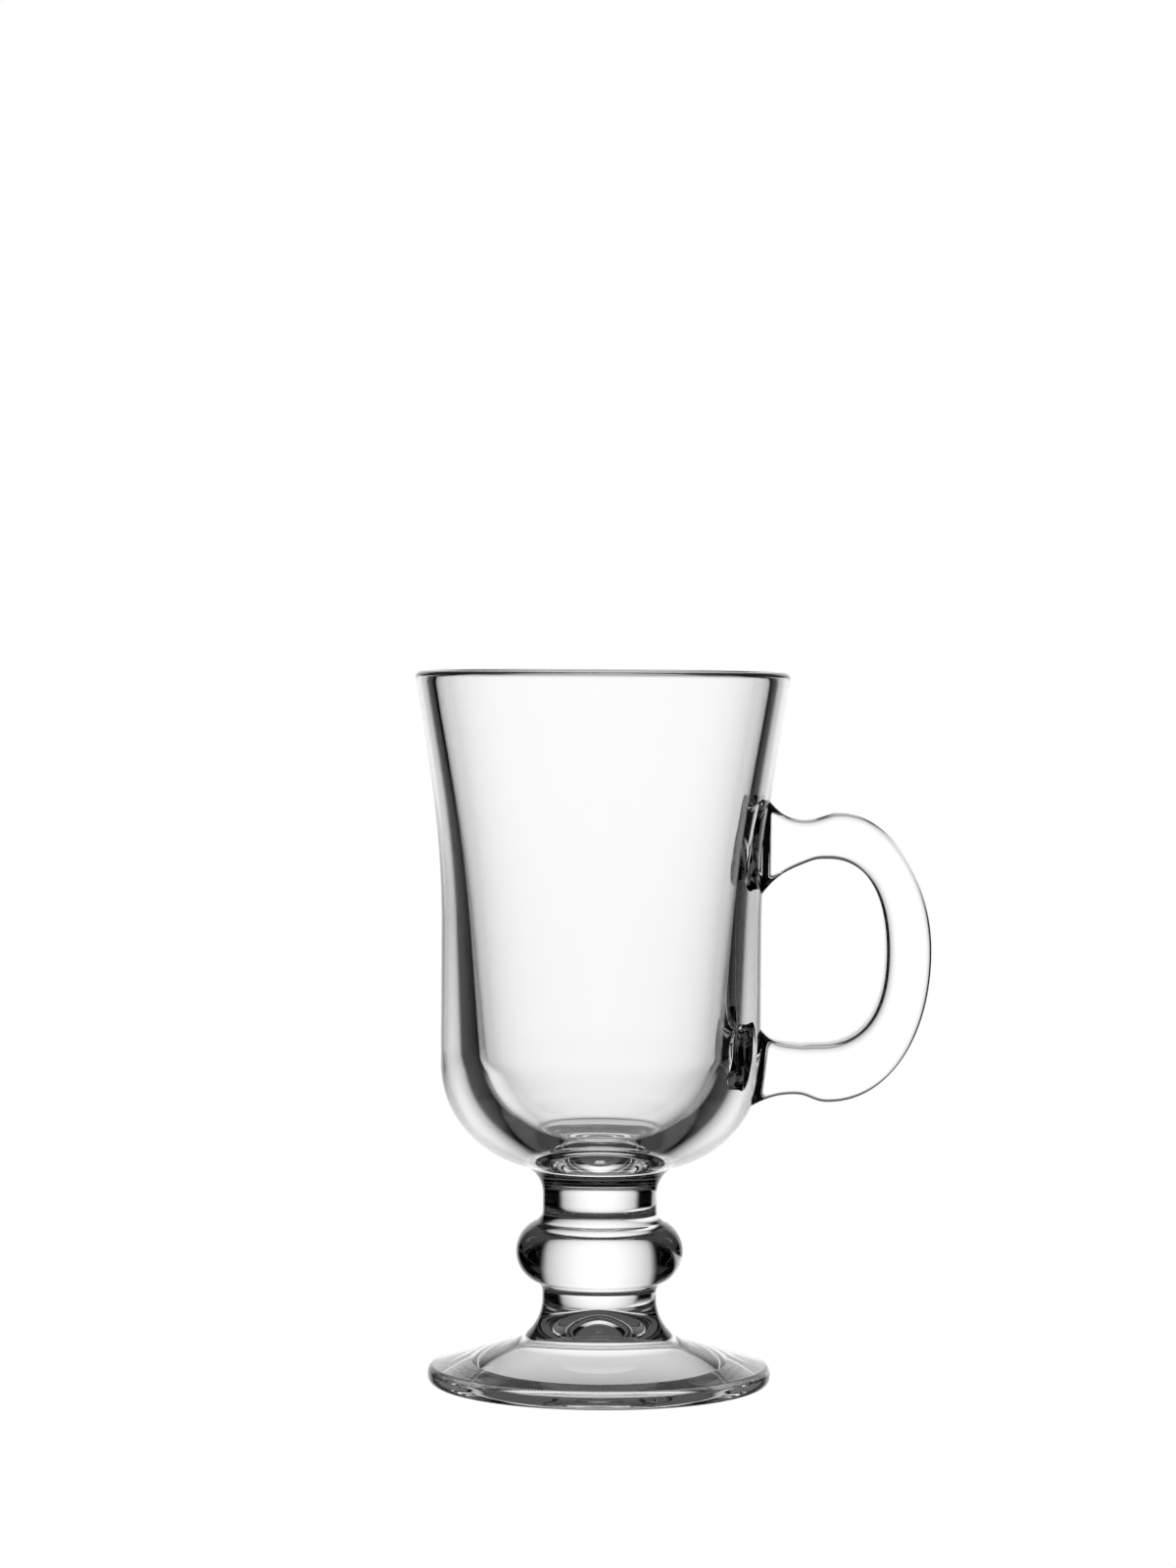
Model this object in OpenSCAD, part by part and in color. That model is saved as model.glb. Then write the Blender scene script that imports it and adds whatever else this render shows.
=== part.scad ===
// Irish coffee mug in clear pressed glass. A flared bowl with a side handle stands on a
// knopped stem and a round foot. The four pieces are fused hot, so each ends in a seat
// that lies face to face with its neighbour. X points to the handle and Z up, and the
// origin is the middle of the plane that the foot stands on.

/* [Bowl] */
// Height of the bowl, from its seat on the stem to the rim
bowl_h = 104.6; // [98:0.2:112]
// Outer diameter at the rim
rim_d = 78.1; // [75:0.1:82]
// Outer diameter of the straight waist
waist_d = 66.8; // [64:0.1:70]
// Height of the flare, from the top of the waist to the rim
flare_h = 53.5; // [46:0.5:60]
// Lean of the wall at the rim, in degrees
rim_lean = 8.4; // [4:0.2:14]
// Outer radius of the rounded lower corner
corner_r = 22; // [18:0.2:25]
// Wall thickness just under the lip
rim_wall = 4; // [2.4:0.1:4.6]
// Wall thickness at the top of the waist
waist_wall = 5.8; // [3:0.1:6.4]
// Wall thickness where the rounded inside begins
corner_wall = 7.8; // [4:0.1:8.4]
// Thickness of the base in the middle of the bowl
base_t = 5.8; // [5:0.2:9]
// Height of the rounded inside, from the floor to where the straight wall begins
inside_h = 19.5; // [16:0.5:26]

/* [Stem] */
// Height of the stem, from the foot to the bowl
stem_h = 26.4; // [25:0.2:30]
// Diameter of the neck above and below the knop
neck_d = 23.8; // [21:0.1:25]
// Largest diameter of the knop
knop_d = 34.9; // [31:0.1:38]
// Radius of the knop's round side
knop_r = 6.9; // [6:0.1:7.2]
// Height of the knop's middle above the lower end of the stem
knop_up = 9.8; // [9.4:0.1:11]
// Radius of the hollow where the knop runs into the neck
knop_fillet = 2.6; // [1.4:0.1:3]
// Radius of the hollow under the bowl
boot_r = 6.4; // [5:0.1:9]

/* [Foot] */
// Diameter of the foot
foot_d = 71.6; // [66:0.2:78]
// Height of the foot, from the table to the stem
foot_h = 17.9; // [16.5:0.1:20]
// Height of the foot's rim above the table
foot_edge_h = 4.1; // [4:0.1:5]
// Radius of the upper edge of the foot
edge_top_r = 1.7; // [1:0.1:2]
// Radius of the lower edge of the foot
edge_low_r = 1.8; // [1:0.1:2]
// Radius of the hollow between the foot and the stem
flare_r = 10; // [8:0.2:11]
// Diameter of the hollow under the foot, inside the flat ring that the foot stands on
hollow_d = 50.8; // [46:0.2:53]
// Thickness of the glass over the hollow, up to the stem
cap_t = 2.3; // [1.8:0.1:6]
// Slope of the hollow where it leaves the ring, in degrees
hollow_slope = 45; // [32:1:48]

/* [Handle] */
// Reach of the handle from the waist of the bowl
handle_reach = 35.2; // [33:0.1:40]
// Distance from the rim down to the top of the handle
handle_drop = 29.2; // [27:0.2:34]
// Height of the handle, over all
handle_h = 60.2; // [58:0.2:64]
// Thickness of the handle's upper bar
top_t = 9.6; // [8:0.1:10.5]
// Thickness of the handle's outer side
side_t = 9.3; // [8:0.1:10.5]
// Thickness of the handle's lower bar
low_t = 11.9; // [10:0.1:12.5]
// Width of the handle, across its flat sides
handle_w = 12; // [10:0.2:15]
// Rounding of the handle's long edges
handle_edge_r = 2.2; // [1.5:0.1:2.6]
// Depth of the dip for the thumb behind the top of the handle
thumb_dip = 1.5; // [0.5:0.1:2]
// Depth of the dip under the lower bar, near the bowl
low_dip = 1.6; // [0.5:0.1:2]
// Height that the upper root spreads along the bowl, above and below its bar
root_spread = 11; // [8:0.2:12]
// Height that the lower root spreads up the bowl
heel_spread = 8; // [6:0.2:10]
// Drop of the lower root from its bar into the bowl's corner
toe_drop = 6.7; // [5:0.1:8]
// Drop of the loop's upper edge near the bowl
knuckle_drop = 1.2; // [0.4:0.1:2]
// Size of the hollow where the handle's sides run into the bowl
root_fillet = 2.4; // [1.5:0.1:3]

/* [Hidden] */

// Clear glass with a faint grey green
glass_tint = [0.80, 0.88, 0.87, 0.55];
// Steps in a round stretch of an outline, in a small one, in the rounded inside of the bowl
// and in the hollow under the foot, and round a revolve
arc_steps = 14;
small_steps = 7;
floor_steps = 24;
hollow_steps = 20;
round_steps = 144;

rim_r = rim_d / 2;
waist_r = waist_d / 2;
neck_r = neck_d / 2;
foot_r = foot_d / 2;
stem_z = foot_h;
bowl_z = stem_z + stem_h;
rim_z = bowl_z + bowl_h;
waist_z = rim_z - flare_h;

// Outline points in X and Z: a heading, an arc, and a curve between two ends whose pull
// points set its direction and fullness
function dir(a) = [cos(a), sin(a)];
function arc(c, r, a0, a1, n = arc_steps) = [for (i = [0:n]) c + r * dir(a0 + (a1 - a0) * i / n)];
function mix(a, b, t) = a + (b - a) * t;
function bend(a, b, c, t) = mix(mix(a, b, t), mix(b, c, t), t);
function curve(p, n = arc_steps) =
    [for (i = [0:n]) mix(bend(p[0], p[1], p[2], i / n), bend(p[1], p[2], p[3], i / n), i / n)];

module turned(outline) {
    color(glass_tint)
        rotate_extrude($fn = round_steps)
            polygon(outline);
}

// Stem: two necks with a round knop between them, and the hollow that runs up to the bowl

knop_c = [knop_d / 2 - knop_r, stem_z + knop_up];
knop_hollow = [neck_r + knop_fillet, sqrt(pow(knop_r + knop_fillet, 2) - pow(neck_r + knop_fillet - knop_c[0], 2))];
knop_a = atan2(knop_hollow[1], knop_hollow[0] - knop_c[0]);

// The hollow under the bowl touches the bowl's lower corner. The seat between stem and bowl
// cuts it at this share of its way round.
seat_share = 0.6;
corner_x = waist_r - corner_r;
boot_x = neck_r + boot_r;
boot_rise = sqrt(pow(boot_r + corner_r, 2) - pow(boot_x - corner_x, 2));
boot_a = atan2(boot_rise, corner_x - boot_x);
seat_a = 180 - (180 - boot_a) * seat_share;
boot_c = [boot_x, bowl_z - boot_r * sin(seat_a)];
corner_c = [corner_x, boot_c[1] + boot_rise];

stem_outline = concat(
    [[0, stem_z], [neck_r, stem_z]],
    arc([knop_hollow[0], knop_c[1] - knop_hollow[1]], knop_fillet, 180, 180 - knop_a, small_steps),
    arc(knop_c, knop_r, -knop_a, knop_a, 2 * arc_steps),
    arc([knop_hollow[0], knop_c[1] + knop_hollow[1]], knop_fillet, 180 + knop_a, 180, small_steps),
    arc(boot_c, boot_r, 180, seat_a, small_steps),
    [[0, bowl_z]]);

module stem() {
    turned(stem_outline);
}

// Bowl: the outside runs from the seat round the corner, up the waist and out to the lip,
// and the inside runs back down with a little draft to a rounded floor

// How far the ends of the flare pull, as shares of its height
flare_pull_shares = [0.43, 0.28];
lip_r = rim_wall / 2;
lip_c = [rim_r - lip_r, rim_z - lip_r];
flare_start = [waist_r, waist_z];
flare_end = lip_c + lip_r * dir(-rim_lean);

bowl_side = concat(
    arc(boot_c, boot_r, seat_a, boot_a, small_steps),
    arc(corner_c, corner_r, boot_a - 180, 0),
    curve([
        flare_start,
        flare_start + flare_h * flare_pull_shares[0] * dir(90),
        flare_end - flare_h * flare_pull_shares[1] * dir(90 - rim_lean),
        flare_end]));

// Fullness of the rounded inside, as shares of its height at the wall and of its radius at
// the floor
inside_full_shares = [0.52, 0.68];
floor_z = bowl_z + base_t;
// The top of the rounded inside, the straight wall that leaves it, and the top of that wall
round_top = [waist_r - corner_wall, floor_z + inside_h];
inside_start = [waist_r - waist_wall, waist_z];
inside_v = inside_start - round_top;
wall_a = atan2(inside_v[1], inside_v[0]);
inside_end = lip_c + lip_r * dir(180 - rim_lean);

bowl_inside = concat(
    arc(lip_c, lip_r, -rim_lean, 90, small_steps),
    arc(lip_c, lip_r, 90, 180 - rim_lean, small_steps),
    curve([
        inside_end,
        inside_end - flare_h * flare_pull_shares[1] * dir(90 - rim_lean),
        inside_start + flare_h * flare_pull_shares[0] * dir(wall_a),
        inside_start]),
    curve([
        round_top,
        round_top - inside_h * inside_full_shares[0] * dir(wall_a),
        [round_top[0] * inside_full_shares[1], floor_z],
        [0, floor_z]], floor_steps));

module bowl() {
    turned(concat([[0, bowl_z]], bowl_side, bowl_inside));
}

// The bowl's outer form without its hollow, which the handle is seated against
module bowl_form() {
    turned(concat([[0, bowl_z]], bowl_side, [[0, flare_end[1]]]));
}

// Outer radius of the bowl at a height
function bowl_r(z) = lookup(z, [for (p = bowl_side) [p[1], p[0]]]);

// Foot: a round disc that rises to a hub under the stem, hollowed underneath so that it
// stands on a flat ring

foot_edge_c = [foot_r - edge_top_r, foot_edge_h - edge_top_r];
foot_low_c = [foot_r - edge_low_r, edge_low_r];
foot_flare_c = [neck_r + flare_r, foot_h];
foot_v = foot_edge_c - foot_flare_c;
foot_slope = -atan2(foot_v[1], foot_v[0]) - asin((flare_r + edge_top_r) / norm(foot_v));
hollow_r = hollow_d / 2;
hollow_z = foot_h - cap_t;
// Fullness of the hollow, at its top and at the ring, as shares of its radius
hollow_full_shares = [0.15, 0.48];

foot_outline = concat(
    curve([
        [0, hollow_z],
        [hollow_r * hollow_full_shares[0], hollow_z],
        [hollow_r, 0] + hollow_r * hollow_full_shares[1] * dir(180 - hollow_slope),
        [hollow_r, 0]], hollow_steps),
    arc(foot_low_c, edge_low_r, -90, 0, small_steps),
    arc(foot_edge_c, edge_top_r, 0, 90 - foot_slope, small_steps),
    arc(foot_flare_c, flare_r, 270 - foot_slope, 180),
    [[0, foot_h]]);

module foot() {
    turned(foot_outline);
}

// Handle: a bar with flat sides and round edges, lofted between an outer and an inner edge
// line. Both lines start inside the bowl's wall, and the bowl's outer form cuts the roots,
// so that they seat on it.

top_z = rim_z - handle_drop;
low_z = top_z - handle_h;
loop_top_z = top_z - top_t;
loop_low_z = low_z + low_t;
out_x = waist_r + handle_reach;
in_x = out_x - side_t;
// Height of the outermost point, as a share of the handle's height
mid_share = 0.52;
mid_z = low_z + handle_h * mid_share;
root_x = waist_r - waist_wall / 2;
toe_x = waist_r - corner_wall;

// Places along the reach, as shares of it. Outer line: thumb dip, crown, lower hump and lower
// dip. Inner line: knuckle, crown, floor and heel.
outer_shares = [0.25, 0.46, 0.39, 0.20];
inner_shares = [0.23, 0.39, 0.34, 0.20];
outer_x = [for (s = outer_shares) waist_r + handle_reach * s];
inner_x = [for (s = inner_shares) waist_r + handle_reach * s];

// Fullness of the upper and lower bends, as shares of their size
outer_full_shares = [0.53, 0.58];
inner_full_shares = [0.64, 0.66];
// Pulls at the roots, as shares of their spread, and of the dips, as a share of the reach
root_pull_shares = [0.73, 0.5];
dip_pull_share = 0.08;
root_pull = root_spread * root_pull_shares[0];
bar_pull = root_spread * root_pull_shares[1];
dip_pull = handle_reach * dip_pull_share;

// Slopes of the edge lines in degrees: where they leave the bowl, at the knuckle, at the toe,
// and on the floor of the loop
root_slope = 62;
knuckle_slope = 22;
toe_slope = 38;
floor_slope = 5;

// Each knot of an edge line is a place, a heading, a pull back and a pull on
outer_knots = [
    [[root_x, top_z - thumb_dip + root_spread], -root_slope, 0, root_pull],
    [[outer_x[0], top_z - thumb_dip], 0, bar_pull, dip_pull],
    [[outer_x[1], top_z], 0, dip_pull, (out_x - outer_x[1]) * outer_full_shares[0]],
    [[out_x, mid_z], -90, (top_z - mid_z) * outer_full_shares[0], (mid_z - low_z) * outer_full_shares[1]],
    [[outer_x[2], low_z], 180, (out_x - outer_x[2]) * outer_full_shares[1], dip_pull],
    [[outer_x[3], low_z + low_dip], 180, dip_pull, bar_pull],
    [[toe_x, low_z + low_dip - toe_drop], 180 + toe_slope, root_pull, 0]];
inner_knots = [
    [[root_x, loop_top_z - knuckle_drop - root_spread], root_slope, 0, root_pull],
    [[inner_x[0], loop_top_z - knuckle_drop], knuckle_slope, bar_pull, dip_pull],
    [[inner_x[1], loop_top_z], 0, dip_pull, (in_x - inner_x[1]) * inner_full_shares[0]],
    [[in_x, mid_z], -90, (loop_top_z - mid_z) * inner_full_shares[0],
        (mid_z - loop_low_z) * inner_full_shares[1]],
    [[inner_x[2], loop_low_z], 180, (in_x - inner_x[2]) * inner_full_shares[1], dip_pull],
    [[inner_x[3], loop_low_z], 180 - floor_slope, dip_pull, bar_pull],
    [[root_x, loop_low_z + heel_spread], 180 - root_slope, root_pull, 0]];
span_steps = [14, 4, 10, 10, 4, 14];

function span(a, b, n) = curve([a[0], a[0] + a[3] * dir(a[1]), b[0] - b[2] * dir(b[1]), b[0]], n);
function edge_line(knots) = [
    for (s = [0:len(knots) - 2], i = [0:span_steps[s]])
        if (i > 0 || s == 0) span(knots[s], knots[s + 1], span_steps[s])[i]];

// Half the handle's width at a station: wider where it runs into the bowl
function half_width(m) =
    let (
        full = handle_w / 2 + root_fillet,
        out = m[0] - sqrt(pow(bowl_r(m[1]), 2) - pow(full, 2)))
    out >= root_fillet ? handle_w / 2
        : out <= 0 ? full
        : full - sqrt(pow(root_fillet, 2) - pow(root_fillet - out, 2));

// A cross-section between the two edge lines: a flat-sided ring with round corners, which
// grow rounder as the ring spreads into a root
corner_steps = 5;
root_round_share = 1.3;
function ring(o, i) =
    let (
        m = (o + i) / 2,
        u = (o - i) / norm(o - i),
        half_w = half_width(m),
        edge_r = handle_edge_r + (half_w - handle_w / 2) * root_round_share,
        deep = norm(o - i) / 2 - edge_r,
        wide = half_w - edge_r)
    [for (q = [0:3], k = [0:corner_steps])
        let (
            a = 90 * (q + k / corner_steps),
            p = (q == 0 || q == 3 ? deep : -deep) + edge_r * cos(a),
            y = (q < 2 ? wide : -wide) + edge_r * sin(a))
        [m[0] + u[0] * p, y, m[1] + u[1] * p]];

module loft(rings) {
    n = len(rings[0]);
    last = len(rings) - 1;
    polyhedron(
        points = [for (r = rings) each r],
        faces = concat(
            [for (i = [0:last - 1], j = [0:n - 1], t = [0:1])
                let (a = i * n + j, b = i * n + (j + 1) % n)
                t == 0 ? [a, b, b + n] : [a, b + n, a + n]],
            [[for (j = [n - 1:-1:0]) j], [for (j = [0:n - 1]) last * n + j]]));
}

module handle() {
    outer_line = edge_line(outer_knots);
    inner_line = edge_line(inner_knots);
    color(glass_tint)
        difference() {
            loft([for (i = [0:len(outer_line) - 1]) ring(outer_line[i], inner_line[i])]);
            bowl_form();
        }
}

bowl();
handle();
stem();
foot();
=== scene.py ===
"""A clear glass mug for irish coffee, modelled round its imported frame.

The mug is four pieces of glass that are fused hot: a bowl, a handle, a stem and a foot. Each
piece is closed, and where two of them are fused both end in a weld face that light crosses
unbent, as it does in one body of glass.
"""

import functools
import math
from collections import namedtuple

import bmesh
import bpy
from bpy.props import FloatProperty, FloatVectorProperty, IntProperty, PointerProperty
from mathutils import Matrix, Vector
from mathutils.geometry import interpolate_bezier


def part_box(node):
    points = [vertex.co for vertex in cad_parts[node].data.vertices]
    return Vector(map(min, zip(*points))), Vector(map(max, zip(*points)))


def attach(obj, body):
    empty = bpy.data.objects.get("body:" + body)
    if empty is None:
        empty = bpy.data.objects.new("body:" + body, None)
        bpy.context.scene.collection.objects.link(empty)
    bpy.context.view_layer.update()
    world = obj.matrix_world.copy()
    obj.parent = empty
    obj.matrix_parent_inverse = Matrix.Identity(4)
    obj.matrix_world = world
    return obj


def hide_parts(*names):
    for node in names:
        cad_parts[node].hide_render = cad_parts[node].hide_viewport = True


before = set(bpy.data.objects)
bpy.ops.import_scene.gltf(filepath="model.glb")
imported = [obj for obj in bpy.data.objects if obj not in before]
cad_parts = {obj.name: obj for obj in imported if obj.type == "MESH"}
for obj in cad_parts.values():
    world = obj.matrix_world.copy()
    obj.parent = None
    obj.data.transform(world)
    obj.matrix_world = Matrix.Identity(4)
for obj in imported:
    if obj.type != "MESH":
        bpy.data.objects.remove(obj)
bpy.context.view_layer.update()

bl_info = {
    "name": "Irish Coffee Mug",
    "version": (1, 0, 0),
    "blender": (4, 5, 0),
    "location": "View3D > Sidebar > Mug",
    "description": "A clear glass mug with a flared bowl, a handle, a knopped stem and a foot",
    "category": "Add Mesh",
}

QUARTER = math.pi / 2
HALF = math.pi

BOWL_LOW, BOWL_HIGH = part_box("bowl")
STEM_LOW, STEM_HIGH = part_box("stem")
FOOT_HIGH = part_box("foot")[1]
HANDLE_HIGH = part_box("handle")[1]

# Height of the photograph in pixels, and of the camera's sensor in millimetres
PHOTO_HEIGHT = 1600
SENSOR_HEIGHT = 36.0
# How near and how far the camera sees, and how far the floor reaches, in metres
CAMERA_NEAR = 0.05
CAMERA_FAR = 100.0
FLOOR_REACH = 6.0
# How near two points are merged, and a face counts as at a height, in metres
MERGE_REACH = 1e-7
LEVEL_REACH = 1e-6
# Turns past which the edge between two faces stays sharp
TURNED_CREASE = math.radians(35)
HANDLE_CREASE = math.radians(50)
# The weld's place among a piece's materials. The glass comes first
WELD = 1


def length(name, description, default):
    """A size in metres that a user can change."""
    return FloatProperty(
        name=name,
        description=description,
        default=default,
        min=0.0,
        precision=5,
        subtype="DISTANCE",
        unit="LENGTH",
    )


def share(name, description, default):
    """A share of some other size."""
    return FloatProperty(
        name=name, description=description, default=default, min=0.0, max=1.0, subtype="FACTOR"
    )


def turn(name, description, default):
    """An angle, given in degrees."""
    return FloatProperty(
        name=name, description=description, default=math.radians(default), subtype="ANGLE"
    )


class MugBowlSizes(bpy.types.PropertyGroup):
    rim_radius: length("Rim", "Radius of the bowl at its rim", BOWL_HIGH.y)
    waist_radius: length("Waist", "Outer radius of the straight waist", 0.0334)
    flare_height: length("Flare", "Height from the top of the waist to the rim", 0.0535)
    corner_radius: length("Corner", "Radius of the rounded lower corner", 0.022)
    rim_wall: length("Wall at the rim", "Wall thickness under the lip", 0.004)
    lip_height: length("Lip", "Height of the lip's rounded top", 0.0013)
    waist_wall: length("Wall at the waist", "Wall thickness at the top of the waist", 0.0058)
    corner_wall: length("Wall at the corner", "Wall thickness where the corner begins", 0.0078)
    base_thickness: length("Base", "Thickness in the middle of the bowl's base", 0.0058)
    inside_height: length("Inside round", "Height of the rounded inside above its floor", 0.0195)
    wall_share: share("Wall fullness", "Fullness of the rounded inside at the wall", 0.52)
    floor_share: share("Floor fullness", "Fullness of the rounded inside at the floor", 0.68)
    rim_lean: turn("Lean", "Lean of the wall at the rim", 8.4)
    waist_share: share("Waist fullness", "Fullness of the flare at the waist", 0.43)
    rim_share: share("Rim fullness", "Fullness of the flare at the rim", 0.28)


class MugStemSizes(bpy.types.PropertyGroup):
    neck_radius: length("Neck", "Radius of the neck above and below the knop", 0.0119)
    knop_radius: length("Knop", "Largest radius of the knop", STEM_HIGH.y)
    knop_round: length("Knop side", "Radius of the knop's round side", 0.0069)
    knop_rise: length("Knop height", "Height of the knop's middle above the foot", 0.0098)
    knop_hollow: length("Knop hollow", "Radius of the hollows beside the knop", 0.0026)
    boot_radius: length("Boot", "Radius of the hollow under the bowl", 0.0064)
    seat_share: share("Seat", "Where the weld cuts the hollow under the bowl", 0.6)


class MugFootSizes(bpy.types.PropertyGroup):
    foot_radius: length("Foot", "Radius of the foot", FOOT_HIGH.y)
    edge_height: length("Edge", "Height of the foot's rim above the table", 0.0041)
    top_round: length("Upper edge", "Radius of the upper edge of the foot", 0.0017)
    low_round: length("Lower edge", "Radius of the lower edge of the foot", 0.0018)
    hub_round: length("Hub", "Radius of the hollow between foot and stem", 0.010)
    hollow_radius: length("Hollow", "Radius of the hollow, inside the ring on the table", 0.0254)
    cap_thickness: length("Cap", "Thickness of the glass over the hollow", 0.0023)
    hollow_slope: turn("Hollow slope", "Slope of the hollow where it leaves the ring", 45.0)
    top_share: share("Top fullness", "Fullness of the hollow at its top", 0.15)
    ring_share: share("Ring fullness", "Fullness of the hollow at the ring", 0.48)


class MugHandleSizes(bpy.types.PropertyGroup):
    top_thickness: length("Upper bar", "Thickness of the upper bar", 0.0096)
    side_thickness: length("Side", "Thickness of the outer side", 0.0093)
    low_thickness: length("Lower bar", "Thickness of the lower bar", 0.0119)
    width: length("Width", "Width across the flat sides", 0.012)
    edge_round: length("Edges", "Rounding of the long edges", 0.0022)
    thumb_dip: length("Thumb dip", "Depth of the dip behind the top", 0.0015)
    low_dip: length("Low dip", "Depth of the dip under the lower bar", 0.0016)
    root_spread: length("Upper root", "Spread of the upper root along the bowl", 0.011)
    heel_spread: length("Heel", "Spread of the lower root up the bowl", 0.008)
    toe_drop: length("Toe", "Drop of the lower root into the bowl's corner", 0.0067)
    knuckle_drop: length("Knuckle", "Drop of the loop's upper edge near the bowl", 0.0012)
    root_fillet: length("Root hollow", "Hollow where the sides run into the bowl", 0.0024)
    top_height: length("Top", "Height of the handle's top", 0.1197)
    bottom_height: length("Bottom", "Height of the handle's lowest bend", 0.0595)


class MugGlassFinish(bpy.types.PropertyGroup):
    tint: FloatVectorProperty(
        name="Tint",
        description="Colour of the light that the glass lets through",
        default=(0.995, 0.997, 0.996),
        min=0.0,
        max=1.0,
        subtype="COLOR",
    )
    bend: FloatProperty(name="Bend", description="Refractive index of the glass", default=1.52)
    ripple: length("Ripple", "Depth of the soft ripple that the mould leaves", 0.000003)
    ripple_size: length("Ripple size", "Distance between the ripples", 0.012)


class MugStudio(bpy.types.PropertyGroup):
    camera_place: FloatVectorProperty(
        name="Camera",
        description="Place of the camera",
        default=(-0.00297, -0.946, 0.15643),
        subtype="XYZ",
        unit="LENGTH",
    )
    camera_tilt: turn("Tilt", "How far the camera looks down", 1.8855)
    camera_roll: turn("Roll", "How far the camera is turned to its left", 0.337)
    camera_focus: FloatProperty(
        name="Focal length", description="Focal length in pixels of the photograph", default=4636.0
    )
    panel_light: FloatProperty(
        name="Panel", description="Brightness of the light panel behind the mug", default=1.16
    )
    panel_left: turn("Panel left", "How far the panel reaches to the left", 30.5)
    panel_right: turn("Panel right", "How far the panel reaches to the right", 32.5)
    panel_soft: turn("Panel edge", "Softness of the panel's sides", 4.0)
    panel_top: turn("Panel top", "How far up the panel reaches", 22.4)
    top_soft: turn("Panel top edge", "Softness of the panel's upper end", 6.0)
    panel_foot: turn("Panel foot", "How far down the panel reaches", 35.0)
    foot_soft: turn("Panel foot edge", "Softness of the panel's lower end", 8.0)
    panel_middle: turn("Panel middle", "Height of the panel's brightest place", 1.5)
    panel_fall: turn("Panel fall", "Where the panel would fade to nothing, sideways", 40.5)
    panel_drop: turn("Panel drop", "Where the panel would fade to nothing, up and down", 53.0)
    corner_top: turn("Corner panel", "How far below level the corner panel begins", 16.0)
    near_light: FloatProperty(
        name="Near table", description="Brightness of the table close behind the mug", default=0.60
    )
    near_half: turn("Near table half", "Half width of the lit table close behind the mug", 19.0)
    near_top: turn("Near table top", "How far below level the lit near table begins", 37.4)
    near_foot: turn("Near table foot", "How far below level the lit near table ends", 62.0)
    table_from: turn("Table from", "Where the pale table at the sides begins", 58.0)
    table_to: turn("Table to", "Where the pale table at the sides ends", 92.0)
    table_top: turn("Table top", "How far below level the pale table begins", 26.0)
    table_foot: turn("Table foot", "How far below level the pale table ends", 45.0)
    room_light: FloatProperty(
        name="Room", description="Brightness of the room beside and behind the camera", default=0.05
    )
    table_light: FloatProperty(
        name="Table", description="Brightness of the pale table at the sides", default=0.30
    )
    tray_light: FloatProperty(
        name="Shaded table", description="Brightness of the table in the mug's shade", default=0.05
    )
    ceiling_light: FloatProperty(
        name="Ceiling", description="Brightness of the ceiling", default=0.09
    )
    flag_end: turn("Flags", "Where the dark flags beside the panel end", 80.0)
    wall_low: turn("Wall foot", "How far below level the room's walls begin", 30.0)
    wall_high: turn("Wall top", "How far above level the room's walls end", 14.0)


class MugMeshing(bpy.types.PropertyGroup):
    turn_steps: IntProperty(
        name="Turn steps", description="Steps round a turned piece", default=256
    )
    arc_steps: IntProperty(name="Arc steps", description="Steps in a round stretch", default=36)
    small_steps: IntProperty(name="Small steps", description="Steps in a small round", default=12)
    edge_steps: IntProperty(
        name="Edge steps", description="Steps in a rounded long edge of the handle", default=8
    )


def heading(angle):
    """A step of length one in an outline, at an angle in radians."""
    return Vector((math.cos(angle), math.sin(angle)))


def arc(centre, radius, start, end, steps):
    """Points of an outline on a circle."""
    return [centre + radius * heading(start + (end - start) * i / steps) for i in range(steps + 1)]


def curve(start, start_pull, end_pull, end, steps):
    """Points of an outline on a curve between two places and their pulls."""
    return [p.to_2d() for p in interpolate_bezier(start, start_pull, end_pull, end, steps + 1)]


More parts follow.
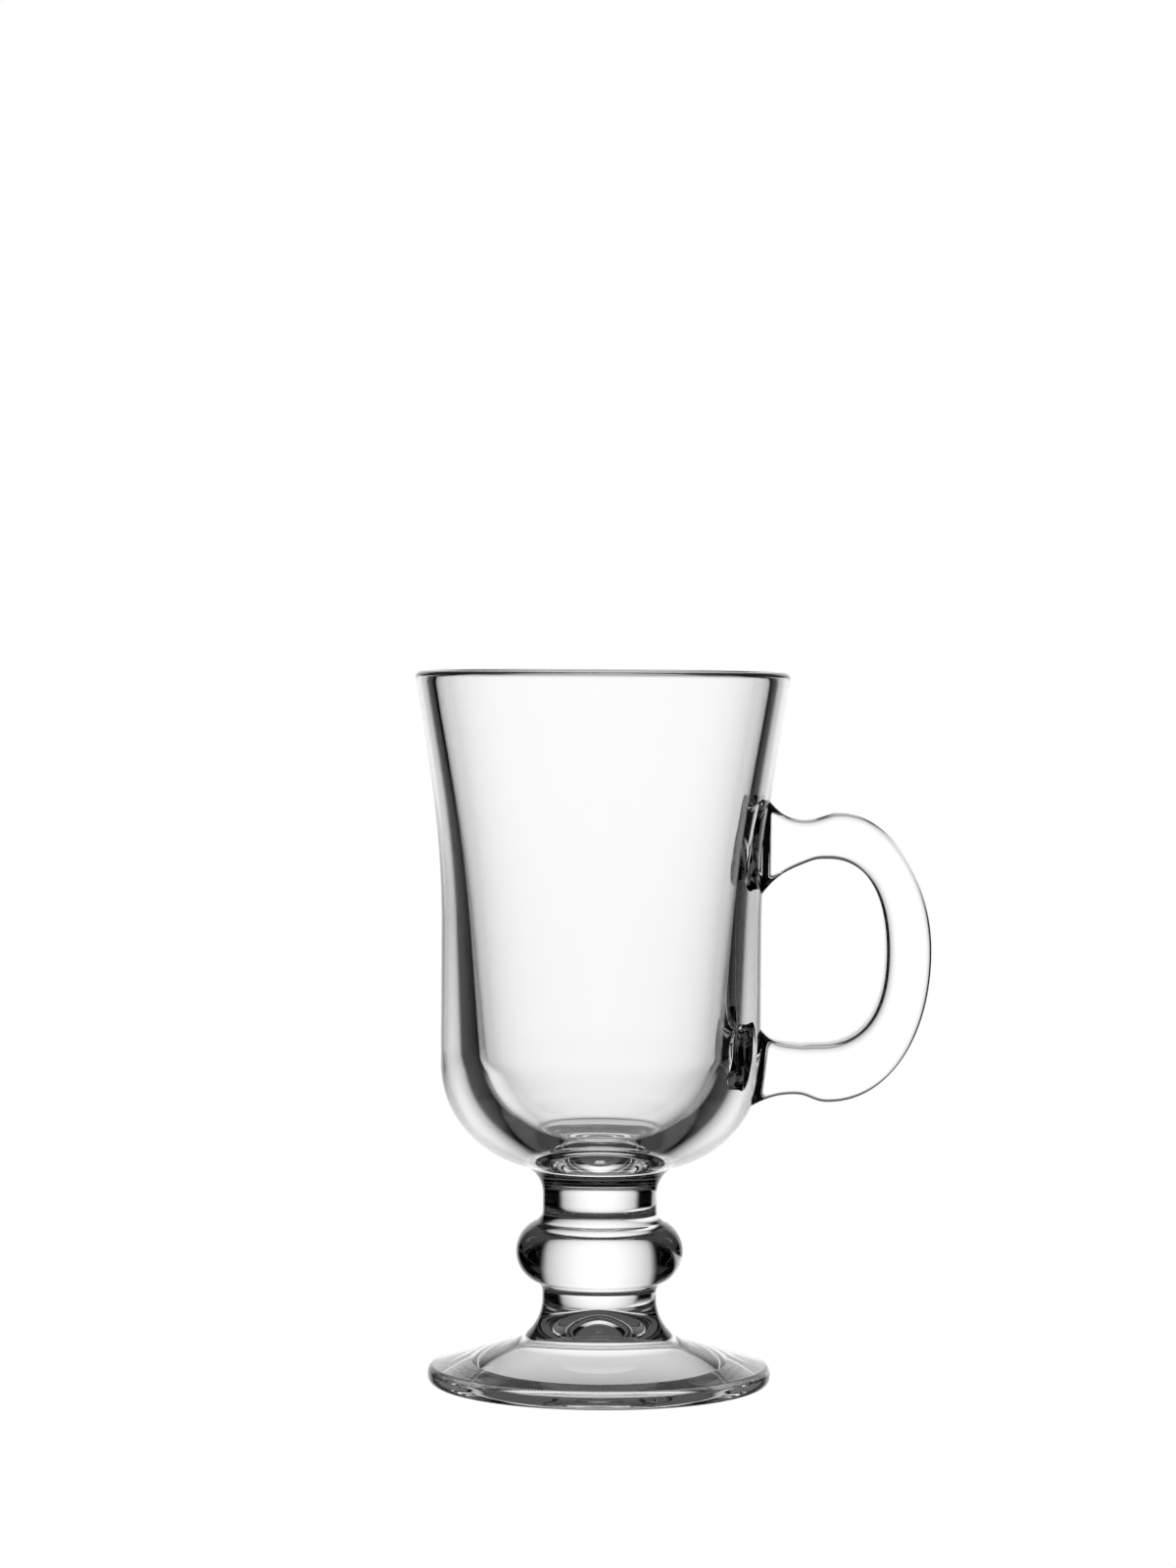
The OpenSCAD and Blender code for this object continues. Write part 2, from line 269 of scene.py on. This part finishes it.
class Outline:
    """The outlines of the turned pieces, worked out from their sizes."""

    def __init__(self, scene):
        self.bowl = scene.mug_bowl
        self.stem = scene.mug_stem
        self.foot = scene.mug_foot
        self.steps = scene.mug_meshing.arc_steps
        self.few = scene.mug_meshing.small_steps
        bowl = self.bowl
        stem = self.stem
        # The hollow under the bowl touches the bowl's lower corner
        corner_x = bowl.waist_radius - bowl.corner_radius
        boot_x = stem.neck_radius + stem.boot_radius
        reach = stem.boot_radius + bowl.corner_radius
        boot_rise = math.sqrt(reach**2 - (boot_x - corner_x) ** 2)
        self.boot_turn = math.atan2(boot_rise, corner_x - boot_x)
        self.seat_turn = HALF - (HALF - self.boot_turn) * stem.seat_share
        seat_rise = stem.boot_radius * math.sin(self.seat_turn)
        self.boot_centre = Vector((boot_x, BOWL_LOW.z - seat_rise))
        self.corner_centre = Vector((corner_x, self.boot_centre.y + boot_rise))
        self.lip_radius = bowl.rim_wall / 2
        self.lip_centre = Vector((bowl.rim_radius - self.lip_radius, BOWL_HIGH.z - bowl.lip_height))
        self.waist_top = BOWL_HIGH.z - bowl.flare_height

    def outside(self):
        """From the seat on the stem round the corner, up the waist and out to the lip."""
        bowl = self.bowl
        flare_start = Vector((bowl.waist_radius, self.waist_top))
        flare_end = self.lip()[0]
        rise = bowl.flare_height
        up = heading(QUARTER)
        lean = heading(QUARTER - bowl.rim_lean)
        boot = arc(
            self.boot_centre, self.stem.boot_radius, self.seat_turn, self.boot_turn, self.few
        )
        corner = arc(
            self.corner_centre, bowl.corner_radius, self.boot_turn - HALF, 0.0, self.steps
        )
        flare = curve(
            flare_start,
            flare_start + rise * bowl.waist_share * up,
            flare_end - rise * bowl.rim_share * lean,
            flare_end,
            self.steps,
        )
        return boot + corner[1:] + flare

    def lip(self):
        """The lip's oval top, from the outside of the wall to the inside."""
        flat = self.bowl.lip_height / self.lip_radius
        round_top = arc(Vector((0.0, 0.0)), self.lip_radius, 0.0, HALF, 2 * self.few)
        return [self.lip_centre + Vector((p.x, p.y * flat)) for p in round_top]

    def inside(self):
        """From the lip down the inside of the flare to the middle of the floor."""
        bowl = self.bowl
        rise = bowl.flare_height
        floor_z = BOWL_LOW.z + bowl.base_thickness
        round_top = Vector((bowl.waist_radius - bowl.corner_wall, floor_z + bowl.inside_height))
        start = Vector((bowl.waist_radius - bowl.waist_wall, self.waist_top))
        wall = (start - round_top).normalized()
        lip = self.lip()
        end = lip[-1]
        lean = heading(QUARTER - bowl.rim_lean)
        flare = curve(
            end,
            end - rise * bowl.rim_share * lean,
            start + rise * bowl.waist_share * wall,
            start,
            self.steps,
        )
        rounded = curve(
            round_top,
            round_top - bowl.inside_height * bowl.wall_share * wall,
            Vector((round_top.x * bowl.floor_share, floor_z)),
            Vector((0.0, floor_z)),
            2 * self.steps,
        )
        return lip[1:] + flare[1:] + rounded

    def stem_side(self):
        """From the seat on the foot over the knop to the seat under the bowl."""
        stem = self.stem
        knop_centre = Vector((stem.knop_radius - stem.knop_round, STEM_LOW.z + stem.knop_rise))
        hollow_x = stem.neck_radius + stem.knop_hollow
        reach = stem.knop_round + stem.knop_hollow
        hollow_rise = math.sqrt(reach**2 - (hollow_x - knop_centre.x) ** 2)
        slope = math.atan2(hollow_rise, hollow_x - knop_centre.x)
        low = Vector((hollow_x, knop_centre.y - hollow_rise))
        high = Vector((hollow_x, knop_centre.y + hollow_rise))
        return (
            [Vector((stem.neck_radius, STEM_LOW.z))]
            + arc(low, stem.knop_hollow, HALF, HALF - slope, self.few)
            + arc(knop_centre, stem.knop_round, -slope, slope, 2 * self.steps)[1:]
            + arc(high, stem.knop_hollow, HALF + slope, HALF, self.few)[1:]
            + arc(self.boot_centre, stem.boot_radius, HALF, self.seat_turn, self.few)
        )

    def foot_side(self):
        """From the top of the hollow out over the edge and up the hub."""
        foot = self.foot
        edge_centre = Vector((foot.foot_radius - foot.top_round, foot.edge_height - foot.top_round))
        low_centre = Vector((foot.foot_radius - foot.low_round, foot.low_round))
        hub_centre = Vector((self.stem.neck_radius + foot.hub_round, FOOT_HIGH.z))
        way = edge_centre - hub_centre
        slope = -math.atan2(way.y, way.x) - math.asin(
            (foot.hub_round + foot.top_round) / way.length
        )
        ring = Vector((foot.hollow_radius, 0.0))
        hollow_top = FOOT_HIGH.z - foot.cap_thickness
        hollow = curve(
            Vector((0.0, hollow_top)),
            Vector((foot.hollow_radius * foot.top_share, hollow_top)),
            ring + foot.hollow_radius * foot.ring_share * heading(HALF - foot.hollow_slope),
            ring,
            self.steps,
        )
        return (
            hollow
            + arc(low_centre, foot.low_round, -QUARTER, 0.0, self.few)
            + arc(edge_centre, foot.top_round, 0.0, QUARTER - slope, self.few)
            + arc(hub_centre, foot.hub_round, 3 * QUARTER - slope, HALF, self.steps)
        )


def turned(outline, steps):
    """A closed mesh turned round the axis from an outline that starts and ends on the axis."""
    mesh = bmesh.new()
    points = [mesh.verts.new((p.x, 0.0, p.y)) for p in outline]
    edges = [mesh.edges.new(pair) for pair in zip(points, points[1:])]
    bmesh.ops.spin(
        mesh,
        geom=points + edges,
        cent=(0.0, 0.0, 0.0),
        axis=(0.0, 0.0, 1.0),
        angle=math.tau,
        steps=steps,
        use_merge=True,
    )
    bmesh.ops.remove_doubles(mesh, verts=mesh.verts, dist=MERGE_REACH)
    bmesh.ops.recalc_face_normals(mesh, faces=mesh.faces)
    return mesh


def mark_welds(mesh, levels):
    """Give the flat faces at these heights the weld's material."""
    for face in mesh.faces:
        for level in levels:
            if all(abs(vert.co.z - level) < LEVEL_REACH for vert in face.verts):
                face.material_index = WELD


def crease(mesh, sharp_turn):
    """Smooth faces, with a crease where the surface turns sharply or meets a weld."""
    for face in mesh.faces:
        face.smooth = True
    for edge in mesh.edges:
        kinds = {face.material_index for face in edge.link_faces}
        folded = len(edge.link_faces) == 2 and edge.calc_face_angle(0.0) > sharp_turn
        edge.smooth = len(kinds) < 2 and not folded


def crease_again(piece, sharp_turn):
    """Crease a piece that was cut."""
    mesh = bmesh.new()
    mesh.from_mesh(piece.data)
    crease(mesh, sharp_turn)
    mesh.to_mesh(piece.data)
    mesh.free()


def piece_from(name, mesh, materials):
    """An object of that mesh, at the origin."""
    data = bpy.data.meshes.new(name)
    mesh.to_mesh(data)
    mesh.free()
    for material in materials:
        data.materials.append(material)
    piece = bpy.data.objects.new(name, data)
    bpy.context.scene.collection.objects.link(piece)
    return piece


def cut(piece, tool):
    """Cut the tool's shape out of the piece. The cut faces take the tool's materials."""
    modifier = piece.modifiers.new("cut", "BOOLEAN")
    modifier.operation = "DIFFERENCE"
    modifier.solver = "EXACT"
    modifier.material_mode = "TRANSFER"
    modifier.object = tool
    graph = bpy.context.evaluated_depsgraph_get()
    data = bpy.data.meshes.new_from_object(piece.evaluated_get(graph), depsgraph=graph)
    piece.modifiers.clear()
    old = piece.data
    piece.data = data
    bpy.data.meshes.remove(old)


def seat(piece, node):
    """Put a finished piece in the place of its node in the frame."""
    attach(piece, "root")
    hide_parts(node)


def clear_glass(finish):
    """Clear glass with a faint tint and the soft ripple that pressing leaves."""
    material = bpy.data.materials.get("clear_glass")
    if material:
        return material
    material = bpy.data.materials.new("clear_glass")
    material.use_nodes = True
    tree = material.node_tree
    shader = tree.nodes["Principled BSDF"]
    shader.inputs["Base Color"].default_value = (*finish.tint, 1.0)
    shader.inputs["Roughness"].default_value = 0.0
    shader.inputs["IOR"].default_value = finish.bend
    shader.inputs["Transmission Weight"].default_value = 1.0
    place = tree.nodes.new("ShaderNodeTexCoord")
    ripple = tree.nodes.new("ShaderNodeTexNoise")
    ripple.inputs["Scale"].default_value = 1.0 / finish.ripple_size
    ripple.inputs["Detail"].default_value = 1.0
    bump = tree.nodes.new("ShaderNodeBump")
    bump.inputs["Strength"].default_value = 1.0
    bump.inputs["Distance"].default_value = finish.ripple
    tree.links.new(place.outputs["Object"], ripple.inputs["Vector"])
    tree.links.new(ripple.outputs["Fac"], bump.inputs["Height"])
    tree.links.new(bump.outputs["Normal"], shader.inputs["Normal"])
    return material


def weld():
    """The face between two fused pieces, which light crosses unbent."""
    material = bpy.data.materials.get("weld")
    if material:
        return material
    material = bpy.data.materials.new("weld")
    material.use_nodes = True
    tree = material.node_tree
    tree.nodes.remove(tree.nodes["Principled BSDF"])
    clear = tree.nodes.new("ShaderNodeBsdfTransparent")
    tree.links.new(clear.outputs["BSDF"], tree.nodes["Material Output"].inputs["Surface"])
    return material


def glass_and_weld(scene):
    """A piece's materials, in their order."""
    return [clear_glass(scene.mug_glass), weld()]


class MUG_OT_foot(bpy.types.Operator):
    """Add the round foot with the hollow underneath"""

    bl_idname = "mug.foot"
    bl_label = "Foot"

    def execute(self, context):
        scene = context.scene
        outline = Outline(scene).foot_side() + [Vector((0.0, FOOT_HIGH.z))]
        mesh = turned(outline, scene.mug_meshing.turn_steps)
        mark_welds(mesh, [FOOT_HIGH.z])
        crease(mesh, TURNED_CREASE)
        seat(piece_from("glass_foot", mesh, glass_and_weld(scene)), "foot")
        return {"FINISHED"}


class MUG_OT_stem(bpy.types.Operator):
    """Add the stem with its knop"""

    bl_idname = "mug.stem"
    bl_label = "Stem"

    def execute(self, context):
        scene = context.scene
        side = Outline(scene).stem_side()
        outline = [Vector((0.0, STEM_LOW.z))] + side + [Vector((0.0, STEM_HIGH.z))]
        mesh = turned(outline, scene.mug_meshing.turn_steps)
        mark_welds(mesh, [STEM_LOW.z, STEM_HIGH.z])
        crease(mesh, TURNED_CREASE)
        seat(piece_from("glass_stem", mesh, glass_and_weld(scene)), "stem")
        return {"FINISHED"}


# A place on an edge line, the line's heading there, and its pulls back and on
Knot = namedtuple("Knot", "place angle pull_back pull_on")


class HandleLines:
    """The handle's outer and inner edge lines and its cross-section between them."""

    # Steps in the spans between the knots, the same for both lines
    span_steps = (30, 10, 26, 26, 10, 30)
    # Where the bars bend, as shares of the way from the waist to the side
    outer_shares = (0.25, 0.46, 0.39, 0.20)
    inner_shares = (0.23, 0.39, 0.34, 0.20)
    # Where the side is farthest out, as a share of the handle's height
    middle_share = 0.52
    # Pulls at the roots and on the bars, as shares of the upper root's spread
    root_share = 0.73
    bar_share = 0.5
    # Pull between two bends of a bar, as a share of the handle's reach
    dip_share = 0.08
    # Fullness of the round stretches between the bars and the side
    outer_top_share = 0.53
    outer_low_share = 0.58
    inner_top_share = 0.64
    inner_low_share = 0.66
    # Slopes of the lines near the bowl
    root_slope = math.radians(62)
    knuckle_slope = math.radians(22)
    heel_slope = math.radians(5)
    toe_slope = math.radians(38)
    # How fast the rounding of the long edges grows as a root widens
    edge_growth = 1.3
    # How far inside the bowl's outer face the roots end
    seat_depth = 0.00002

    def __init__(self, scene):
        sizes = scene.mug_handle
        bowl = scene.mug_bowl
        self.sizes = sizes
        self.outside = Outline(scene).outside()
        waist = bowl.waist_radius
        out_x = HANDLE_HIGH.x
        reach = out_x - waist
        in_x = out_x - sizes.side_thickness
        top = sizes.top_height
        low = sizes.bottom_height
        loop_top = top - sizes.top_thickness
        loop_low = low + sizes.low_thickness
        thumb_z = top - sizes.thumb_dip
        knuckle_z = loop_top - sizes.knuckle_drop
        under_z = low + sizes.low_dip
        root_x = waist - bowl.waist_wall / 2
        toe_x = waist - bowl.corner_wall
        root_pull = sizes.root_spread * self.root_share
        bar_pull = sizes.root_spread * self.bar_share
        self.dip_pull = reach * self.dip_share
        self.middle = low + (top - low) * self.middle_share
        outer_x = [waist + reach * part for part in self.outer_shares]
        inner_x = [waist + reach * part for part in self.inner_shares]
        self.outer_knots = [
            Knot((root_x, thumb_z + sizes.root_spread), -self.root_slope, 0.0, root_pull),
            Knot((outer_x[0], thumb_z), 0.0, bar_pull, self.dip_pull),
            *self.loop(
                Vector((outer_x[1], top)),
                Vector((outer_x[2], low)),
                out_x,
                self.outer_top_share,
                self.outer_low_share,
            ),
            Knot((outer_x[3], under_z), HALF, self.dip_pull, bar_pull),
            Knot((toe_x, under_z - sizes.toe_drop), HALF + self.toe_slope, root_pull, 0.0),
        ]
        self.inner_knots = [
            Knot((root_x, knuckle_z - sizes.root_spread), self.root_slope, 0.0, root_pull),
            Knot((inner_x[0], knuckle_z), self.knuckle_slope, bar_pull, self.dip_pull),
            *self.loop(
                Vector((inner_x[1], loop_top)),
                Vector((inner_x[2], loop_low)),
                in_x,
                self.inner_top_share,
                self.inner_low_share,
            ),
            Knot((inner_x[3], loop_low), HALF - self.heel_slope, self.dip_pull, bar_pull),
            Knot((root_x, loop_low + sizes.heel_spread), HALF - self.root_slope, root_pull, 0.0),
        ]

    def loop(self, top, low, side_x, top_share, low_share):
        """The knots of the loop's round part: its top, its side and its bottom."""
        up = (top.y - self.middle) * top_share
        down = (self.middle - low.y) * low_share
        return [
            Knot(top, 0.0, self.dip_pull, (side_x - top.x) * top_share),
            Knot((side_x, self.middle), -QUARTER, up, down),
            Knot(low, HALF, (side_x - low.x) * low_share, self.dip_pull),
        ]

    def line(self, knots):
        """The points of an edge line."""
        points = []
        for near, far, steps in zip(knots, knots[1:], self.span_steps):
            start = Vector(near.place)
            end = Vector(far.place)
            start_pull = start + near.pull_on * heading(near.angle)
            end_pull = end - far.pull_back * heading(far.angle)
            span = curve(start, start_pull, end_pull, end, steps)
            points += span[1:] if points else span
        return points

    def rings(self, steps):
        """The rings from the upper root round to the lower one."""
        outer = self.line(self.outer_knots)
        inner = self.line(self.inner_knots)
        return [self.ring(o, i, steps) for o, i in zip(outer, inner)]

    def seat_form(self):
        """Outline of the form that the roots are cut by, just inside the bowl's outer face."""
        form = [Vector((p.x - self.seat_depth, p.y)) for p in self.outside]
        return [Vector((0.0, form[0].y))] + form + [Vector((0.0, form[-1].y))]

    def bowl_radius(self, height):
        """Outer radius of the bowl at a height."""
        for low, high in zip(self.outside, self.outside[1:]):
            if low.y <= height < high.y:
                part = (height - low.y) / (high.y - low.y)
                return low.x + (high.x - low.x) * part
        return self.outside[-1].x

    def half_width(self, middle):
        """Half the handle's width: wider where it runs into the bowl."""
        half = self.sizes.width / 2
        fillet = self.sizes.root_fillet
        full = half + fillet
        out = middle.x - math.sqrt(self.bowl_radius(middle.y) ** 2 - full**2)
        if out >= fillet:
            return half
        if out <= 0.0:
            return full
        return full - math.sqrt(fillet**2 - (fillet - out) ** 2)

    def ring(self, outer, inner, steps):
        """A flat-sided ring with round corners between two points of the edge lines."""
        middle = (outer + inner) / 2
        across = (outer - inner).normalized()
        half = self.half_width(middle)
        edge = self.sizes.edge_round + (half - self.sizes.width / 2) * self.edge_growth
        deep = (outer - inner).length / 2 - edge
        wide = half - edge
        points = []
        for corner in range(4):
            for k in range(steps + 1):
                angle = QUARTER * (corner + k / steps)
                p = (deep if corner in (0, 3) else -deep) + edge * math.cos(angle)
                y = (wide if corner < 2 else -wide) + edge * math.sin(angle)
                points.append(Vector((middle.x + across.x * p, y, middle.y + across.y * p)))
        return points


def lofted(rings):
    """A closed mesh through rings of points: the first ring is extruded on to each next one."""
    mesh = bmesh.new()
    verts = [mesh.verts.new(p) for p in rings[0]]
    first = mesh.faces.new(verts)
    loop = list(first.edges)
    order = verts
    for points in rings[1:]:
        grown = bmesh.ops.extrude_edge_only(mesh, edges=loop)["geom"]
        loop = [g for g in grown if isinstance(g, bmesh.types.BMEdge) and g.is_boundary]
        new = {g for g in grown if isinstance(g, bmesh.types.BMVert)}
        following = []
        for vert, point in zip(order, points):
            other = next(
                e.other_vert(vert) for e in vert.link_edges if e.other_vert(vert) in new
            )
            following.append((other, point))
        for other, point in following:
            other.co = point
        order = [other for other, _ in following]
    bmesh.ops.contextual_create(mesh, geom=loop)
    bmesh.ops.recalc_face_normals(mesh, faces=mesh.faces)
    return mesh


class MUG_OT_handle(bpy.types.Operator):
    """Add the handle, cut to the bowl's outer form"""

    bl_idname = "mug.handle"
    bl_label = "Handle"

    def execute(self, context):
        scene = context.scene
        meshing = scene.mug_meshing
        lines = HandleLines(scene)
        mesh = lofted(lines.rings(meshing.edge_steps))
        handle = piece_from("glass_handle", mesh, glass_and_weld(scene))
        form = turned(lines.seat_form(), meshing.turn_steps)
        tool = piece_from("root_form", form, [weld()])
        cut(handle, tool)
        bpy.data.objects.remove(tool)
        crease_again(handle, HANDLE_CREASE)
        seat(handle, "handle")
        return {"FINISHED"}


class MUG_OT_bowl(bpy.types.Operator):
    """Add the flared bowl, with the seats for the handle's roots"""

    bl_idname = "mug.bowl"
    bl_label = "Bowl"

    def execute(self, context):
        scene = context.scene
        form = Outline(scene)
        outline = [Vector((0.0, BOWL_LOW.z))] + form.outside() + form.inside()
        mesh = turned(outline, scene.mug_meshing.turn_steps)
        mark_welds(mesh, [BOWL_LOW.z])
        bowl = piece_from("glass_bowl", mesh, glass_and_weld(scene))
        cut(bowl, bpy.data.objects["glass_handle"])
        crease_again(bowl, TURNED_CREASE)
        seat(bowl, "bowl")
        return {"FINISHED"}


class Studio:
    """Builds the light round the mug, as a strength that depends on the direction."""

    # Directions of the panels beside and behind the camera's own
    left_turn = -QUARTER
    behind_turn = 1.5 * QUARTER
    corner_turn = -QUARTER / 2
    # Softness of what lies beside the panel, in radians
    table_soft = 0.06
    near_soft = 0.07
    over_soft = 0.08
    shade_soft = 0.1
    flag_soft = 0.14
    # Between no reflection and one, in the count that a ray carries
    reflected = 0.5

    def __init__(self, scene):
        self.sizes = scene.mug_studio
        self.world = bpy.data.worlds.new("studio")
        self.world.use_nodes = True
        self.tree = self.world.node_tree
        place = self.tree.nodes.new("ShaderNodeTexCoord")
        split = self.tree.nodes.new("ShaderNodeSeparateXYZ")
        self.tree.links.new(place.outputs["Generated"], split.inputs[0])
        self.turn = self.math("ARCTAN2", split.outputs["X"], split.outputs["Y"])
        self.rise = self.math("ARCSINE", split.outputs["Z"])
        self.side = self.math("ABSOLUTE", self.turn)

    def math(self, operation, *values):
        """A math node. Each value is a number or the output of another node."""
        node = self.tree.nodes.new("ShaderNodeMath")
        node.operation = operation
        for socket, value in zip(node.inputs, values):
            if isinstance(value, bpy.types.NodeSocket):
                self.tree.links.new(value, socket)
            else:
                socket.default_value = value
        return node.outputs[0]

    def step(self, value, low, high):
        """From 0 at low to 1 at high, with soft ends."""
        node = self.tree.nodes.new("ShaderNodeMapRange")
        node.interpolation_type = "SMOOTHSTEP"
        self.tree.links.new(value, node.inputs["Value"])
        node.inputs["From Min"].default_value = low
        node.inputs["From Max"].default_value = high
        return node.outputs["Result"]

    def band(self, value, low, high, soft):
        """1 between two angles, with soft edges."""
        rising = self.step(value, low - soft, low + soft)
        falling = self.step(value, high + soft, high - soft)
        return self.math("MULTIPLY", rising, falling)

    def product(self, *factors):
        """All the factors, multiplied."""
        return functools.reduce(lambda a, b: self.math("MULTIPLY", a, b), factors)

    def largest(self, *strengths):
        """The largest of the strengths."""
        return functools.reduce(lambda a, b: self.math("MAXIMUM", a, b), strengths)

    def panel(self, facing, middle, left, right, low, high):
        """A light panel in one direction, brightest at the height of its middle."""
        sizes = self.sizes
        off = self.math("SUBTRACT", self.turn, facing)
        climb = self.math("SUBTRACT", self.rise, middle)
        aside = self.math("POWER", self.math("DIVIDE", off, sizes.panel_fall), 2.0)
        apart = self.math("POWER", self.math("DIVIDE", climb, sizes.panel_drop), 2.0)
        left_over = self.math("SUBTRACT", self.math("SUBTRACT", 1.0, aside), apart)
        shape = self.math("MAXIMUM", left_over, 0.0)
        across = self.band(off, -left, right, sizes.panel_soft)
        above = self.step(self.rise, low - sizes.foot_soft, low + sizes.foot_soft)
        below = self.step(self.rise, high + sizes.top_soft, high - sizes.top_soft)
        return self.product(sizes.panel_light, shape, across, above, below)

    def walls(self):
        """The dim room past the dark flags."""
        sizes = self.sizes
        past_flags = self.step(self.side, sizes.flag_end, sizes.flag_end + self.flag_soft)
        level = self.band(self.rise, -sizes.wall_low, sizes.wall_high, self.table_soft)
        return self.product(sizes.room_light, past_flags, level)

    def ceiling(self):
        """The ceiling over the panel."""
        top = self.sizes.panel_top
        over = self.step(self.rise, top - self.over_soft, top + self.over_soft)
        return self.product(self.sizes.ceiling_light, over)

    def table(self):
        """The pale table at the sides, close behind the mug and in its shade."""
        sizes = self.sizes
        beside = self.band(self.side, sizes.table_from, sizes.table_to, self.table_soft)
        low = self.band(self.rise, -sizes.table_foot, -sizes.table_top, self.table_soft)
        pale = self.product(sizes.table_light, beside, low)
        half = sizes.near_half
        close = self.step(self.side, half + self.near_soft, half - self.near_soft)
        down = self.band(self.rise, -sizes.near_foot, -sizes.near_top, self.table_soft)
        near = self.product(sizes.near_light, close, down)
        foot = -sizes.panel_foot
        under = self.step(self.rise, foot, foot - self.shade_soft)
        shaded = self.product(sizes.tray_light, under)
        return self.largest(pale, near, shaded)

    def join(self):
        """Light for each kind of ray: panels all round for those that no face reflects."""
        sizes = self.sizes
        foot = -sizes.panel_foot
        top = sizes.panel_top
        middle = sizes.panel_middle
        half = sizes.panel_right
        corner_top = -sizes.corner_top
        corner_middle = (foot + corner_top) / 2
        front = self.panel(0.0, middle, sizes.panel_left, half, foot, top)
        left = self.panel(self.left_turn, middle, half, half, foot, top)
        behind = self.panel(self.behind_turn, middle, half, half, foot, top)
        corner = self.panel(self.corner_turn, corner_middle, half, half, foot, corner_top)
        room = self.math("ADD", self.largest(self.walls(), self.table()), self.ceiling())
        seen = self.tree.nodes.new("ShaderNodeLightPath")
        straight = self.math("LESS_THAN", seen.outputs["Glossy Depth"], self.reflected)
        others = self.product(straight, self.largest(left, behind, corner))
        direct = seen.outputs["Is Camera Ray"]
        in_glass = self.math("SUBTRACT", 1.0, direct)
        lit = self.product(in_glass, self.largest(front, room, others))
        strength = self.math("ADD", direct, lit)
        back = self.tree.nodes["Background"]
        self.tree.links.new(strength, back.inputs["Strength"])
        back.inputs["Color"].default_value = (1.0, 1.0, 1.0, 1.0)
        return self.world


def white_floor():
    """White for the camera, and clear for the light that goes through the glass."""
    material = bpy.data.materials.new("white_floor")
    material.use_nodes = True
    tree = material.node_tree
    tree.nodes.remove(tree.nodes["Principled BSDF"])
    seen = tree.nodes.new("ShaderNodeLightPath")
    glow = tree.nodes.new("ShaderNodeEmission")
    glow.inputs["Color"].default_value = (1.0, 1.0, 1.0, 1.0)
    clear = tree.nodes.new("ShaderNodeBsdfTransparent")
    choose = tree.nodes.new("ShaderNodeMixShader")
    tree.links.new(seen.outputs["Is Camera Ray"], choose.inputs[0])
    tree.links.new(clear.outputs[0], choose.inputs[1])
    tree.links.new(glow.outputs[0], choose.inputs[2])
    tree.links.new(choose.outputs[0], tree.nodes["Material Output"].inputs["Surface"])
    return material


def set_camera(scene):
    """Put the camera where the photograph was taken from."""
    studio = scene.mug_studio
    data = bpy.data.cameras.new("camera")
    data.sensor_fit = "VERTICAL"
    data.sensor_height = SENSOR_HEIGHT
    data.lens = studio.camera_focus / PHOTO_HEIGHT * SENSOR_HEIGHT
    data.clip_start = CAMERA_NEAR
    data.clip_end = CAMERA_FAR
    camera = bpy.data.objects.new("camera", data)
    scene.collection.objects.link(camera)
    look = Matrix.Rotation(QUARTER - studio.camera_tilt, 4, "X")
    roll = Matrix.Rotation(studio.camera_roll, 4, "Z")
    camera.matrix_world = Matrix.Translation(studio.camera_place) @ look @ roll
    scene.camera = camera


class MUG_OT_stage(bpy.types.Operator):
    """Set the floor, the light and the camera"""

    bl_idname = "mug.stage"
    bl_label = "Stage"

    def execute(self, context):
        scene = context.scene
        scene.world = Studio(scene).join()
        mesh = bmesh.new()
        bmesh.ops.create_grid(mesh, x_segments=1, y_segments=1, size=FLOOR_REACH)
        floor = piece_from("floor", mesh, [white_floor()])
        set_camera(scene)
        scene.view_settings.view_transform = "Standard"
        return {"FINISHED"}


class MUG_PT_panel(bpy.types.Panel):
    """The mug's pieces and stage, in the 3D view's sidebar"""

    bl_label = "Mug"
    bl_idname = "MUG_PT_panel"
    bl_space_type = "VIEW_3D"
    bl_region_type = "UI"
    bl_category = "Mug"

    def draw(self, context):
        for operator in OPERATORS:
            self.layout.operator(operator.bl_idname)


GROUPS = {
    "mug_bowl": MugBowlSizes,
    "mug_stem": MugStemSizes,
    "mug_foot": MugFootSizes,
    "mug_handle": MugHandleSizes,
    "mug_glass": MugGlassFinish,
    "mug_studio": MugStudio,
    "mug_meshing": MugMeshing,
}
OPERATORS = [MUG_OT_foot, MUG_OT_stem, MUG_OT_handle, MUG_OT_bowl, MUG_OT_stage]


def register():
    for name, group in GROUPS.items():
        bpy.utils.register_class(group)
        setattr(bpy.types.Scene, name, PointerProperty(type=group))
    for operator in OPERATORS:
        bpy.utils.register_class(operator)
    bpy.utils.register_class(MUG_PT_panel)


def unregister():
    bpy.utils.unregister_class(MUG_PT_panel)
    for operator in reversed(OPERATORS):
        bpy.utils.unregister_class(operator)
    for name, group in GROUPS.items():
        delattr(bpy.types.Scene, name)
        bpy.utils.unregister_class(group)


def main():
    register()
    bpy.ops.mug.foot()
    bpy.ops.mug.stem()
    bpy.ops.mug.handle()
    bpy.ops.mug.bowl()
    bpy.ops.mug.stage()


if __name__ == "__main__":
    main()
